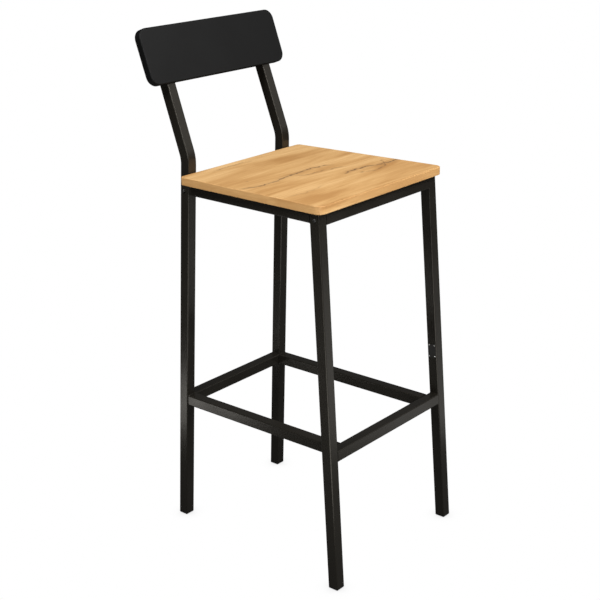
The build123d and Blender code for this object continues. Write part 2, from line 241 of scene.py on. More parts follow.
# %% [markdown]
# A crack's line is a curve through a few points, worked out by a Float Curve node, plus noise
# that makes it tremble. Breaking it up with a second noise leaves gaps, as in real wood.


# %% A crack
CORE_SPREAD, STAIN_SPREAD = 1.5, 7      # reach of the dark core and of the stain, in crack widths
STAIN_SHARE = 0.45


def crack(tree, place, parts, wander, points, width, depth):
    """Returns masks for a crack: its dark core and the brown stain on both sides."""
    start, end = points[0][0], points[-1][0]
    path = add(tree, "ShaderNodeFloatCurve")
    along = remap(tree, parts, "X", start, end, 0, 1)
    join(tree, along, "Result", path, "Value")
    low = min(y for x, y in points) - 0.01
    high = max(y for x, y in points) + 0.01
    curve = path.mapping.curves[0]
    for index, (x, y) in enumerate(points):
        spot = ((x - start) / (end - start), (y - low) / (high - low))
        if index in (0, len(points) - 1):
            curve.points[0 if index == 0 else -1].location = spot
        else:
            curve.points.new(*spot)
    path.mapping.update()
    line = remap(tree, path, "Value", 0, 1, low, high)
    off = sums(tree, "SUBTRACT", parts, wander, "Y")
    gap = sums(tree, "SUBTRACT", off, 0)
    join(tree, line, "Result", gap, 1)
    gap = sums(tree, "ABSOLUTE", gap, 0)
    opens = remap(tree, parts, "X", start - 0.01, start + 0.015, 0, 1, smooth=True)
    closes = remap(tree, parts, "X", end - 0.015, end + 0.01, 1, 0, smooth=True)
    window = sums(tree, "MULTIPLY", opens, 0, "Result")
    join(tree, closes, "Result", window, 1)
    broken = stretched_noise(tree, place, (70, 45, 45), 4)
    pieces = remap(tree, broken, "Fac", 0.38, 0.52, 0.40, 1.0, smooth=True)
    masks = []
    for reach, share in ((CORE_SPREAD * width, depth), (STAIN_SPREAD * width, depth * STAIN_SHARE)):
        near = remap(tree, gap, "Value", 0, reach, share, 0, smooth=True)
        inside = sums(tree, "MULTIPLY", near, window, "Result")
        whole = sums(tree, "MULTIPLY", inside, 0)
        join(tree, pieces, "Result", whole, 1)
        masks.append(whole)
    return masks


print("a crack's stain reaches", STAIN_SPREAD / CORE_SPREAD, "times as far as its core")

# %% [markdown]
# A knot is the stub of a branch. It's round, so it's the distance from a point, squeezed across
# the grain so it runs longer along it, and a fine noise makes its rim ragged.

# %% A knot
KNOT_SQUEEZE = 1.8


def knot(tree, place, centre, size, depth):
    """A mask for a knot: dark in the middle, ragged at its rim."""
    moved = add(tree, "ShaderNodeMapping", Scale=(1, KNOT_SQUEEZE, 0),
                Location=(-centre[0], -centre[1] * KNOT_SQUEEZE, 0))
    join(tree, place, "Object", moved, "Vector")
    reach = tree.nodes.new("ShaderNodeVectorMath")
    reach.operation = "LENGTH"
    join(tree, moved, "Vector", reach, 0)
    ragged = stretched_noise(tree, place, (160, 320, 320), 2)
    spread = sums(tree, "MULTIPLY", ragged, size * 0.9, "Fac")
    uneven = sums(tree, "ADD", reach, spread)
    return remap(tree, uneven, "Value", size * 0.4, size * 1.5, depth, 0, smooth=True)


print("a knot is", KNOT_SQUEEZE, "times as long as it is wide")

# %% [markdown]
# Each crack is listed by the points it runs through, in metres on the board, then its width and
# how dark it is. The long one comes first, then the one towards the front, then the fine ones.
# They are laid over the grain one after another, each with its own dent in the relief.

# %% Finish the board
CRACKS = (
    (((-0.176, -0.014), (-0.119, -0.030), (-0.044, -0.022), (0.028, -0.020), (0.069, -0.034)),
     0.0017, 0.85),
    (((0.028, -0.098), (0.080, -0.094), (0.130, -0.106), (0.189, -0.110)), 0.0021, 0.80),
    (((-0.044, -0.022), (-0.020, -0.044), (0.020, -0.050), (0.080, -0.062)), 0.0011, 0.55),
    (((0.057, -0.117), (0.100, -0.128), (0.158, -0.086)), 0.0013, 0.55),
    (((-0.110, 0.118), (-0.042, 0.124), (0.000, 0.119)), 0.0010, 0.50),
    (((-0.168, -0.120), (-0.120, -0.128), (-0.070, -0.122)), 0.0009, 0.35),
)
# centre, size, how dark
KNOTS = (
    ((-0.044, -0.024), 0.006, 0.75), ((0.057, -0.117), 0.008, 0.60),
    ((0.158, -0.088), 0.007, 0.55), ((-0.128, 0.012), 0.006, 0.35),
)
WANDER = 0.016

seat_finish, tree, shader, place = start_finish("golden_oak_board")
parts = tree.nodes.new("ShaderNodeSeparateXYZ")
join(tree, place, "Object", parts, "Vector")
slow = stretched_noise(tree, place, (60, 6, 0), 4)
wander = sums(tree, "MULTIPLY", sums(tree, "SUBTRACT", slow, 0.5, "Fac"), WANDER)
colour, relief = oak(tree, shader, place, "Object")
for points, width, depth in CRACKS:
    core, stain = crack(tree, place, parts, wander, points, width, depth)
    colour = mixed(tree, stain, "Value", colour, MIX_RESULT, CRACK_BROWN)
    colour = mixed(tree, core, "Value", colour, MIX_RESULT, CRACK_DARK)
    relief = bumped(tree, core, "Value", shader, -0.0002, 0.7, under=relief)
for centre, size, depth in KNOTS:
    mask = knot(tree, place, centre, size, depth)
    colour = mixed(tree, mask, "Result", colour, MIX_RESULT, CRACK_DARK)
join(tree, colour, MIX_RESULT, shader, "Base Color")
coat(["seat_board"], seat_finish)
print("oak board with", len(CRACKS), "cracks and", len(KNOTS), "knots")

# %% [markdown]
# The banding round the board is a long strip of the same print, so its grain follows the edge. On
# the two sides the edge runs along Y, so there the coordinates are swapped: the surface's normal
# says which side a point is on.

# %% Edge banding
band_finish, tree, shader, place = start_finish("oak_edge_band")
facing = tree.nodes.new("ShaderNodeNewGeometry")
facing_parts = tree.nodes.new("ShaderNodeSeparateXYZ")
join(tree, facing, "Normal", facing_parts, "Vector")
sideways = sums(tree, "ABSOLUTE", facing_parts, 0, "X")
on_side = sums(tree, "GREATER_THAN", sideways, 0.7)
parts = tree.nodes.new("ShaderNodeSeparateXYZ")
join(tree, place, "Object", parts, "Vector")
swapped = tree.nodes.new("ShaderNodeCombineXYZ")
join(tree, parts, "Y", swapped, "X")
join(tree, parts, "X", swapped, "Y")
join(tree, parts, "Z", swapped, "Z")
VECTOR_A, VECTOR_B, VECTOR_RESULT = 4, 5, 1
along = tree.nodes.new("ShaderNodeMix")
along.data_type = "VECTOR"
join(tree, on_side, "Value", along, "Factor")
join(tree, place, "Object", along, VECTOR_A)
join(tree, swapped, "Vector", along, VECTOR_B)
colour, relief = oak(tree, shader, along, VECTOR_RESULT)
join(tree, colour, MIX_RESULT, shader, "Base Color")
coat(["seat_edge_band"], band_finish)
print("edge band in", len(tree.nodes), "nodes")

# %% [markdown]
# ## The back panel and the plastic parts
#
# The panel is faced with a matt black laminate: no gloss to speak of, and a texture so fine that
# it only takes the edge off highlights. The glides and caps are moulded in a spark-eroded tool,
# which leaves an even grain. Both are dark, so their relief does more for them than their colour.


# %% Matt black laminate and moulded plastic
LAMINATE_GRAIN = (420, 1500, 1500)
SPARK_GRAIN = (1300, 1300, 1300)


def matt_black(name, tone, roughness, grain, depth):
    """A dull black with a slight cloud in its tone and a fine texture."""
    material, tree, shader, place = start_finish(name)
    cloud = stretched_noise(tree, place, (9, 9, 9), 3)
    shade = add(tree, "ShaderNodeValToRGB")
    shade.color_ramp.elements[0].color = (tone * 0.88, tone * 0.88, tone * 0.87, 1)
    shade.color_ramp.elements[1].color = (tone * 1.12, tone * 1.12, tone * 1.10, 1)
    join(tree, cloud, "Fac", shade, "Fac")
    join(tree, shade, "Color", shader, "Base Color")
    dull = remap(tree, cloud, "Fac", 0.3, 0.7, roughness - 0.04, roughness + 0.04)
    join(tree, dull, "Result", shader, "Roughness")
    shader.inputs["Specular IOR Level"].default_value = 0.20
    texture = stretched_noise(tree, place, grain, 3)
    bumped(tree, texture, "Fac", shader, depth, 0.6)
    return material


laminate = matt_black("matt_black_laminate", 0.0009, 0.62, LAMINATE_GRAIN, 0.00005)
coat(["backrest_panel"], laminate)
plastics = [name for name in nodes if name.startswith(("foot_glide", "upright_cap"))]
coat(plastics, matt_black("moulded_black_plastic", 0.0120, 0.50, SPARK_GRAIN, 0.00004))
print("laminate on the panel, plastic on", len(plastics), "glides and caps")


# %% [markdown]
# ## Bare metal
#
# The bolts are black oxide, the screws are zinc plated, the rivets are bright aluminium and the
# little plate is dark. Each is a metal shader with fine turning marks in its roughness.


# %% Metals
def metal(name, tone, roughness, metallic, streak=(900, 900, 900)):
    """Metal whose gloss is broken by fine marks."""
    material, tree, shader, place = start_finish(name)
    marks = stretched_noise(tree, place, streak, 3)
    cloud = stretched_noise(tree, place, (130, 130, 130), 2)
    shade = add(tree, "ShaderNodeValToRGB")
    shade.color_ramp.elements[0].color = tuple(v * 0.82 for v in tone) + (1,)
    shade.color_ramp.elements[1].color = tuple(min(1, v * 1.12) for v in tone) + (1,)
    join(tree, cloud, "Fac", shade, "Fac")
    join(tree, shade, "Color", shader, "Base Color")
    worn = remap(tree, marks, "Fac", 0.3, 0.7, roughness - 0.06, roughness + 0.08)
    join(tree, worn, "Result", shader, "Roughness")
    shader.inputs["Metallic"].default_value = metallic
    bumped(tree, marks, "Fac", shader, 0.00002, 0.4)
    return material


bolt_finish = metal("black_oxide_steel", (0.110, 0.108, 0.104), 0.30, 0.9)
screw_finish = metal("zinc_plated_steel", (0.60, 0.59, 0.55), 0.34, 1.0)
rivet_finish = metal("bright_aluminium", (0.78, 0.77, 0.75), 0.28, 1.0)
plate_finish = metal("dark_plate", (0.030, 0.029, 0.027), 0.42, 0.3, (260, 260, 900))
coat(["rating_plate"], plate_finish)
end_plates = ["seat_front_rail_plates", "seat_rear_rail_plates"]
coat(end_plates, metal("mild_steel", (0.36, 0.35, 0.34), 0.45, 1.0))
print("metals on the plate and on", len(end_plates), "sets of end plates; the rest come below")

# %% [markdown]
# ## Weld beads
#
# The side rails and the footrest are welded to the legs. Where two faces stand flush the weld is
# ground away and painted over, so nothing shows. In the corners the bead stays, about 3 mm wide,
# with the small ripples a torch leaves. The seams come from the tubes themselves: an edge at a
# rail's end is a corner if, just outside it, there is still a face of the leg. Edges of the bore
# can pass that test too, so some bead also lies inside the tubes, where it isn't seen.

# %% Find the corners where a rail meets a leg
WELDS = {
    "seat_left_rail": ("left_rear_leg", "left_front_leg"),
    "seat_right_rail": ("right_rear_leg", "right_front_leg"),
    "footrest_front_rail": ("left_front_leg", "right_front_leg"),
    "footrest_rear_rail": ("left_rear_leg", "right_rear_leg"),
    "footrest_left_rail": ("left_rear_leg", "footrest_front_rail"),
    "footrest_right_rail": ("right_rear_leg", "footrest_front_rail"),
}
TOUCHING = 0.03 * MM
BESIDE = 2.0 * MM
BEHIND_END = 0.2 * MM
CORNER_GAP = 0.35 * MM


def merged(name):
    """A copy of a node's mesh with its loose triangles joined."""
    solid = bmesh.new()
    solid.from_mesh(nodes[name].data)
    bmesh.ops.remove_doubles(solid, verts=solid.verts, dist=0.002 * MM)
    solid.normal_update()
    return solid


def seams(rail_name, leg_name):
    """Edges of a rail's end that lie in a corner with the other tube."""
    rail = merged(rail_name)
    leg = merged(leg_name)
    surface = BVHTree.FromBMesh(leg)
    end_faces = set()
    for face in rail.faces:
        spot, normal, index, gap = surface.find_nearest(face.calc_center_median())
        if gap < TOUCHING and normal.dot(face.normal) < -0.9:
            end_faces.add(face)
    found = []
    for edge in rail.edges:
        ends = [face for face in edge.link_faces if face in end_faces]
        sides = [face for face in edge.link_faces if face not in end_faces]
        if len(ends) != 1 or len(sides) != 1:
            continue
        middle = (edge.verts[0].co + edge.verts[1].co) / 2
        outwards = sides[0].normal
        probe = middle + outwards * BESIDE - ends[0].normal * BEHIND_END
        spot, normal, index, gap = surface.find_nearest(probe)
        if gap < CORNER_GAP and normal.dot(ends[0].normal) < -0.9:
            found.append((edge.verts[0].co.copy(), edge.verts[1].co.copy()))
    rail.free()
    leg.free()
    return found


def line_mesh(name, segments):
    """A mesh of edges only, joined where they meet, for Geometry Nodes to follow."""
    net = bmesh.new()
    for a, b in segments:
        net.edges.new((net.verts.new(a), net.verts.new(b)))
    bmesh.ops.remove_doubles(net, verts=net.verts, dist=0.01 * MM)
    mesh = bpy.data.meshes.new(name)
    net.to_mesh(mesh)
    net.free()
    piece = bpy.data.objects.new(name, mesh)
    bpy.context.scene.collection.objects.link(piece)
    return piece


segments = [seam for rail, legs in WELDS.items()
            for leg in legs for seam in seams(rail, leg)]
welds = line_mesh("weld_beads", segments)
print("weld seams:", len(segments), "edges")

# %% [markdown]
# Beads, bolts, screws and rivets all come from Geometry Nodes, so three helpers serve them all.
# One starts a tree and names its inputs. One ends it by making copies real and painting them. The
# last runs it on an object and keeps only the plain mesh, which any program can read.


# %% Start, end and run a tree
def new_tree(name, inputs):
    """A Geometry Nodes tree with named inputs: returns the tree, its input node and identifiers."""
    tree = bpy.data.node_groups.new(name, "GeometryNodeTree")
    tree.interface.new_socket("Geometry", in_out="OUTPUT", socket_type="NodeSocketGeometry")
    tree.interface.new_socket("Geometry", in_out="INPUT", socket_type="NodeSocketGeometry")
    keys = {}
    for label, kind in inputs.items():
        keys[label] = tree.interface.new_socket(label, in_out="INPUT", socket_type=kind).identifier
    return tree, tree.nodes.new("NodeGroupInput"), keys


def close_tree(tree, last, source):
    """Ends a tree in Realize Instances and Set Material."""
    real = tree.nodes.new("GeometryNodeRealizeInstances")
    paint = tree.nodes.new("GeometryNodeSetMaterial")
    out = tree.nodes.new("NodeGroupOutput")
    join(tree, last, 0, real, "Geometry")
    join(tree, real, "Geometry", paint, "Geometry")
    join(tree, source, "Material", paint, "Material")
    join(tree, paint, "Geometry", out, "Geometry")


def bake(piece, tree, keys, values):
    """Runs a tree on a piece, keeps the result as a plain mesh, and drops the modifier."""
    modifier = piece.modifiers.new(tree.name, "NODES")
    modifier.node_group = tree
    for label, value in values.items():
        modifier[keys[label]] = value
    graph = bpy.context.evaluated_depsgraph_get()
    mesh = bpy.data.meshes.new_from_object(piece.evaluated_get(graph), depsgraph=graph)
    piece.modifiers.clear()
    piece.data = mesh
    print(piece.name, "has", len(mesh.polygons), "faces")


print("tree helpers ready")

# %% [markdown]
# The bead is a round bar swept along each seam, half buried in the two tubes. Its radius swells
# and shrinks along the seam, which makes the ripples. A small noise keeps them from being all
# alike. The tree's inputs carry the sizes, so the same tree would do for a heavier weld.

# %% The bead tree
BEAD_RADIUS = 1.5 * MM
RIPPLE_PITCH = 1.6 * MM
RIPPLE_HEIGHT = 0.10                    # as a share of the radius
RIPPLE_STEPS = 4.0
BEAD_CORNERS = 10
NOISE_SHARE, LEAST_RADIUS = 0.35, 0.82  # together they average one

bead_tree, source, bead_keys = new_tree("bead_on_seam", {
    "Bead Radius": "NodeSocketFloat", "Ripple Pitch": "NodeSocketFloat",
    "Ripple Height": "NodeSocketFloat", "Material": "NodeSocketMaterial"})
seam_curve = bead_tree.nodes.new("GeometryNodeMeshToCurve")
even = bead_tree.nodes.new("GeometryNodeResampleCurve")
even.mode = "LENGTH"
step = sums(bead_tree, "DIVIDE", source, RIPPLE_STEPS, "Ripple Pitch")
spot = bead_tree.nodes.new("GeometryNodeSplineParameter")
turns = sums(bead_tree, "DIVIDE", spot, source, "Length")
bead_tree.links.new(source.outputs["Ripple Pitch"], turns.inputs[1])
wave = sums(bead_tree, "SINE", sums(bead_tree, "MULTIPLY", turns, 2 * math.pi), 0)
swell = sums(bead_tree, "MULTIPLY", wave, 0)
bead_tree.links.new(source.outputs["Ripple Height"], swell.inputs[1])
uneven = add(bead_tree, "ShaderNodeTexNoise", Scale=350.0, Detail=1.0)
uneven_part = sums(bead_tree, "MULTIPLY", uneven, NOISE_SHARE, "Fac")
thick = sums(bead_tree, "ADD", sums(bead_tree, "ADD", swell, uneven_part), LEAST_RADIUS)
swollen = bead_tree.nodes.new("GeometryNodeSetCurveRadius")
ring = add(bead_tree, "GeometryNodeCurvePrimitiveCircle", Resolution=BEAD_CORNERS)
swept = bead_tree.nodes.new("GeometryNodeCurveToMesh")
swept.inputs["Fill Caps"].default_value = True
smooth = bead_tree.nodes.new("GeometryNodeSetShadeSmooth")
join(bead_tree, source, "Geometry", seam_curve, "Mesh")
join(bead_tree, seam_curve, "Curve", even, "Curve")
join(bead_tree, step, "Value", even, "Length")
join(bead_tree, even, "Curve", swollen, "Curve")
join(bead_tree, thick, "Value", swollen, "Radius")
join(bead_tree, source, "Bead Radius", ring, "Radius")
join(bead_tree, swollen, "Curve", swept, "Curve")
join(bead_tree, ring, "Curve", swept, "Profile Curve")
join(bead_tree, swept, "Mesh", smooth, "Geometry")
close_tree(bead_tree, smooth, source)
bake(welds, bead_tree, bead_keys, {
    "Bead Radius": BEAD_RADIUS, "Ripple Pitch": RIPPLE_PITCH,
    "Ripple Height": RIPPLE_HEIGHT, "Material": frame_paint})
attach(welds, "root")

# %% [markdown]
# ## Bolts, screws and rivets
#
# All three are turned parts with a shaped recess, so one lathe routine makes them. Each ring of
# the profile has the same number of corners, and the recess's ring puts them on a hexagon or a
# cross in place of a circle, so faces run cleanly from the dome into the recess. One piece is then
# set on every place with Geometry Nodes, turned by a seeded random angle, since nobody lines up
# the recesses.


# %% Shapes for the rings
def circle(radius):
    """The same reach at every angle."""
    return lambda angle: radius


def hexagon(across_flats):
    """Reach of a hexagonal recess at an angle."""
    def reach(angle):
        return across_flats / 2 / math.cos((angle % (math.pi / 3)) - math.pi / 6)
    return reach


def cross(length, width):
    """Reach of a cross recess, from its arms' length and width."""
    def reach(angle):
        off_arm = abs((angle + math.pi / 4) % (math.pi / 2) - math.pi / 4)
        if math.tan(off_arm) <= width / 2 / length + 1e-9:
            return length / math.cos(off_arm)
        return width / 2 / math.sin(off_arm)
    return reach


print("a 4 mm hexagon reaches", round(hexagon(4.0)(0), 2), "mm at its corners")

# %% [markdown]
# The lathe joins each ring to the next with four-sided faces and closes both ends, so the part is
# a solid with no holes in its skin. Edges that turn sharply are marked sharp, which keeps them
# crisp while the dome shades smoothly.

# %% The lathe
SHARP = math.radians(32)


def turned(name, angles, rings):
    """Closed solid from rings of (shape, height), bottom first, ending at the recess's floor."""
    solid = bmesh.new()
    loops = []
    for shape, height in rings:
        loops.append([solid.verts.new((shape(a) * math.cos(a), shape(a) * math.sin(a), height))
                      for a in angles])
    for low, high in zip(loops, loops[1:]):
        for i in range(len(angles)):
            j = (i + 1) % len(angles)
            solid.faces.new((low[i], low[j], high[j], high[i]))
    solid.faces.new(list(reversed(loops[0])))
    solid.faces.new(loops[-1])
    bmesh.ops.recalc_face_normals(solid, faces=solid.faces)
    for face in solid.faces:
        face.smooth = True
    for edge in solid.edges:
        if edge.calc_face_angle(0) > SHARP:
            edge.smooth = False
    mesh = bpy.data.meshes.new(name)
    solid.to_mesh(mesh)
    solid.free()
    piece = bpy.data.objects.new(name, mesh)
    bpy.context.scene.collection.objects.link(piece)
    return piece


def dome(radius, rim, height, tip_radius, steps=6):
    """Rings of a domed head from its rim to the edge of its recess."""
    rings = [(circle(radius), rim)]
    for k in range(1, steps + 1):
        turn = math.pi / 2 * k / steps
        reach = tip_radius + (radius - tip_radius) * math.cos(turn)
        rings.append((circle(reach), rim + (height - rim) * math.sin(turn)))
    return rings


print("lathe ready, sharp from", round(math.degrees(SHARP)), "degrees")

# %% [markdown]
# The frame's bolts are M6 with a button head and a 4 mm hexagon recess. The screws have a domed
# head and a cross recess: short ones hold the board, longer ones hold the panel. Corners of the
# rings are spread evenly for the bolt and rivet, and put on the arms' corners for the cross.

# %% Turn the bolt, the rivet and the screws
BOLT_HEAD, BOLT_DOME = 5.25 * MM, 3.3 * MM
SCREW_HEAD, SCREW_DOME = 4.1 * MM, 2.4 * MM
RIVET_HEAD, RIVET_DOME = 1.5 * MM, 0.95 * MM
RIVET_SEAT = 0.9 * MM
EVEN = [math.radians(7.5 * k) for k in range(48)]
CROSS_HALF_ARM = math.degrees(math.atan(0.5 / 2.3))
CROSS_TURNS = [math.radians(90 * arm + a) for arm in range(4)
               for a in (-45, -30, -CROSS_HALF_ARM, 0, CROSS_HALF_ARM, 30)]

button_bolt = turned("button_bolt", EVEN, [
    (circle(2.6 * MM), -34 * MM), (circle(3.0 * MM), -33.6 * MM),
    (circle(3.0 * MM), 0), (circle(5.0 * MM), 0),
    *dome(BOLT_HEAD, 0.5 * MM, BOLT_DOME, 2.75 * MM),
    (hexagon(4.3 * MM), 3.25 * MM), (hexagon(4.0 * MM), 3.0 * MM),
    (hexagon(4.0 * MM), 1.2 * MM)])
rivet = turned("dome_rivet", EVEN[::2], [
    (circle(1.0 * MM), -2.4 * MM), (circle(1.0 * MM), 0), (circle(RIVET_HEAD), 0),
    *dome(RIVET_HEAD, 0.12 * MM, RIVET_DOME, 0.12 * MM)])


def cross_screw(name, length):
    """A pointed screw with a domed head and a cross recess."""
    return turned(name, CROSS_TURNS, [
        (circle(0.2 * MM), -length), (circle(2.1 * MM), -length + 4 * MM), (circle(2.1 * MM), 0),
        (circle(3.9 * MM), 0), *dome(SCREW_HEAD, 0.5 * MM, SCREW_DOME, 2.6 * MM),
        (cross(2.3 * MM, 1.0 * MM), 2.38 * MM), (cross(1.7 * MM, 0.8 * MM), 1.1 * MM),
        (cross(0.7 * MM, 0.5 * MM), 0.6 * MM)])


seat_screw = cross_screw("seat_screw", 15 * MM)
back_screw = cross_screw("back_screw", 27.5 * MM)
print("turned parts ready")

# %% [markdown]
# Where do they go? The CAD's plain fasteners already sit in the right holes. Each is a separate
# lump of one node, so the script walks from vertex to vertex to find the lumps. It starts them in
# the mesh's own order, so every run lists them alike and each keeps its random angle. The axis is
# the line through both ends' points, and the head is the end with points far from that axis. This
# fit is rough, and a known fault: it leaves the axes 6 to 15 degrees off, so it takes the wrong
# end for the head of the frame bolts and the seat screws. The CAD's own directions, straight
# through the leg and straight up through the bracket, would be the cure.


# %% Read places and axes from the CAD
NEARLY = 0.93


def lumps(name):
    """The separate solids of a node, each as a list of points."""
    solid = merged(name)
    left = set(solid.verts)
    found = []
    for first in solid.verts:
        if first not in left:
            continue
        left.remove(first)
        stack = [first]
        points = []
        while stack:
            vertex = stack.pop()
            points.append(vertex.co.copy())
            for edge in vertex.link_edges:
                other = edge.other_vert(vertex)
                if other in left:
                    left.remove(other)
                    stack.append(other)
        found.append(points)
    solid.free()
    return found


def ring_centre(points):
    """The average of some points."""
    return sum(points, Vector()) / len(points)


def seat_of_head(points, head_radius, head_height):
    """The middle of a head's underside and the direction the head points."""
    def ends(reach, slack):
        """Points within a slack of the far end, and of the near one."""
        return ([p for p, r in zip(points, reach) if r > max(reach) - slack],
                [p for p, r in zip(points, reach) if r < min(reach) + slack])

    middle = ring_centre(points)
    far = max(points, key=lambda p: (p - middle).length)
    axis = (far - middle).normalized()
    tip, tail = ends([(p - middle).dot(axis) for p in points], 0.1 * MM)
    for attempt in range(3):
        axis = (ring_centre(tip) - ring_centre(tail)).normalized()
        tip, tail = ends([(p - middle).dot(axis) for p in points], 0.4 * MM)
    wide = [p for p in points
            if ((p - middle) - axis * (p - middle).dot(axis)).length > head_radius * NEARLY]
    if (ring_centre(wide) - middle).dot(axis) < 0:
        axis = -axis
    top = max((p - middle).dot(axis) for p in points)
    return middle + axis * (top - head_height), axis


def place_points(name, seats):
    """A mesh of points that carry their axis as an attribute."""
    mesh = bpy.data.meshes.new(name)
    mesh.from_pydata([tuple(spot) for spot, axis in seats], [], [])
    mesh.attributes.new("axis", "FLOAT_VECTOR", "POINT")
    for item, (spot, axis) in zip(mesh.attributes["axis"].data, seats):
        item.vector = axis
    piece = bpy.data.objects.new(name, mesh)
    bpy.context.scene.collection.objects.link(piece)
    return piece


bolt_seats = [seat_of_head(points, BOLT_HEAD, BOLT_DOME) for points in lumps("frame_bolts")]
seat_seats = [seat_of_head(points, SCREW_HEAD, SCREW_DOME) for points in lumps("seat_screws")]
back_seats = [seat_of_head(points, SCREW_HEAD, SCREW_DOME) for points in lumps("backrest_screws")]
for label, seats in (("bolt", bolt_seats), ("back screw", back_seats), ("seat screw", seat_seats)):
    print(label, [round(v, 3) for v in seats[0][0]], "points", [round(v, 2) for v in seats[0][1]])

# %% [markdown]
# A rivet is too short for that rule: its head is wider than it is long. All four stand on the
# small plate, so the plate's own large face gives their direction.

# %% Read the rivets' places
plate = merged("rating_plate")
plate_front = min(plate.faces, key=lambda face: (-round(face.calc_area() * 1e9), face.normal.x))
inwards = Vector(plate_front.normal)
plate.free()
rivet_seats = []
for points in lumps("plate_rivets"):
    middle = ring_centre(points)
    top = max((p - middle).dot(inwards) for p in points)
    rivet_seats.append((middle + inwards * (top - RIVET_SEAT), inwards))
print(len(rivet_seats), "rivets point", [round(v, 2) for v in inwards])

# %% [markdown]
# The setting tree is short: read the axis, turn the part's Z to it, spin it by a random angle,
# put one on every point, make the copies real and paint them.

# %% The setting tree
set_tree, source, set_keys = new_tree("set_on_places", {
    "Part": "NodeSocketObject", "Size": "NodeSocketFloat", "Seed": "NodeSocketInt",
    "Material": "NodeSocketMaterial"})
axis = add(set_tree, "GeometryNodeInputNamedAttribute", Name="axis")
axis.data_type = "FLOAT_VECTOR"
aim = set_tree.nodes.new("FunctionNodeAlignRotationToVector")
aim.axis = "Z"
join(set_tree, axis, "Attribute", aim, "Vector")
chance = set_tree.nodes.new("FunctionNodeRandomValue")
chance.data_type = "FLOAT"
LEAST, MOST, TURN = 2, 3, 1             # a Random Value node's sockets for a plain number
chance.inputs[LEAST].default_value = 0.0
chance.inputs[MOST].default_value = math.pi
join(set_tree, source, "Seed", chance, "Seed")
spin = set_tree.nodes.new("ShaderNodeCombineXYZ")
join(set_tree, chance, TURN, spin, "Z")
spin_turn = set_tree.nodes.new("FunctionNodeEulerToRotation")
join(set_tree, spin, "Vector", spin_turn, "Euler")
both = set_tree.nodes.new("FunctionNodeRotateRotation")
both.rotation_space = "LOCAL"
join(set_tree, aim, "Rotation", both, "Rotation")
join(set_tree, spin_turn, "Rotation", both, "Rotate By")
part = set_tree.nodes.new("GeometryNodeObjectInfo")
join(set_tree, source, "Part", part, "Object")
copies = set_tree.nodes.new("GeometryNodeInstanceOnPoints")
join(set_tree, source, "Geometry", copies, "Points")
join(set_tree, part, "Geometry", copies, "Instance")
join(set_tree, both, "Rotation", copies, "Rotation")
join(set_tree, source, "Size", copies, "Scale")
close_tree(set_tree, copies, source)
print("setting tree has", len(set_tree.nodes), "nodes")

# %% [markdown]
# Now the tree runs four times. Each set stands for the CAD node that holds the plain fasteners,
# which is hidden here and goes on serving for collisions. The turned masters are thrown away.

# %% Set every bolt, screw and rivet
SETS = (
    ("bolt_heads", bolt_seats, button_bolt, 3, bolt_finish, "frame_bolts", "bolt_steel"),
    ("seat_screw_set", seat_seats, seat_screw, 5, screw_finish, "seat_screws", "zinc_screw"),
    ("back_screw_set", back_seats, back_screw, 8, screw_finish, "backrest_screws", "zinc_screw"),
    ("rivet_set", rivet_seats, rivet, 2, rivet_finish, "plate_rivets", "rivet_metal"),
)
for name, seats, turned_part, seed, finish, node, slot in SETS:
    piece = place_points(name, seats)
    bake(piece, set_tree, set_keys, {
        "Part": turned_part, "Size": 1.0, "Seed": seed, "Material": finish})
    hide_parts(node)
    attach(piece, "root")
for master in (button_bolt, rivet, seat_screw, back_screw):
    bpy.data.objects.remove(master)

# %% [markdown]
# ## Floor and backdrop
#
# The studio is a white sheet. If it sent its white light back onto a black stool, the paint would
# go grey, and lowering it would turn the sheet grey too. So the sheet is two things at once: a
# plain white glow where it's seen, with a faint painted contact shade where something stands on
# it, and dull for all light that bounces. The backdrop is made the same way.

# %% Floor and world
FLOOR_REACH = 30
FLOOR_DROP = 0.0004
WHITE = (1, 1, 1, 1)
CONTACT_REACH = 0.05
SHEET_GREY = (0.10, 0.10, 0.10, 1)
DIM_ROOM = 0.08
floor_mesh = bpy.data.meshes.new("floor")
sheet = bmesh.new()
bmesh.ops.create_grid(sheet, x_segments=1, y_segments=1, size=FLOOR_REACH,
                      matrix=Matrix.Translation((0, 0, -FLOOR_DROP)))
sheet.to_mesh(floor_mesh)
sheet.free()
floor = bpy.data.objects.new("floor", floor_mesh)
bpy.context.scene.collection.objects.link(floor)


def two_faced(tree, output, seen_first, otherwise):
    """Shows one shader to the eye and uses the other for all light that bounces."""
    path = tree.nodes.new("ShaderNodeLightPath")
    either = tree.nodes.new("ShaderNodeMixShader")
    join(tree, path, "Is Camera Ray", either, "Fac")
    tree.links.new(otherwise.outputs[0], either.inputs[1])
    tree.links.new(seen_first.outputs[0], either.inputs[2])
    join(tree, either, "Shader", output, "Surface")


floor_finish = bpy.data.materials.new("pale_floor")
floor_finish.use_nodes = True
tree = floor_finish.node_tree
tree.nodes.remove(tree.nodes["Principled BSDF"])
# Painted contact shade: ambient occlusion dims the paper's glow near anything standing on the
# floor.
nearness = add(tree, "ShaderNodeAmbientOcclusion", Distance=CONTACT_REACH)
painted_contact_shade = remap(tree, nearness, "AO", 0.0, 0.9, 0.70, 1.0)
glowing_paper = add(tree, "ShaderNodeEmission", Color=WHITE)
join(tree, painted_contact_shade, "Result", glowing_paper, "Strength")
dull_paper = add(tree, "ShaderNodeBsdfDiffuse", Color=SHEET_GREY)
two_faced(tree, tree.nodes["Material Output"], glowing_paper, dull_paper)
floor_mesh.materials.append(floor_finish)

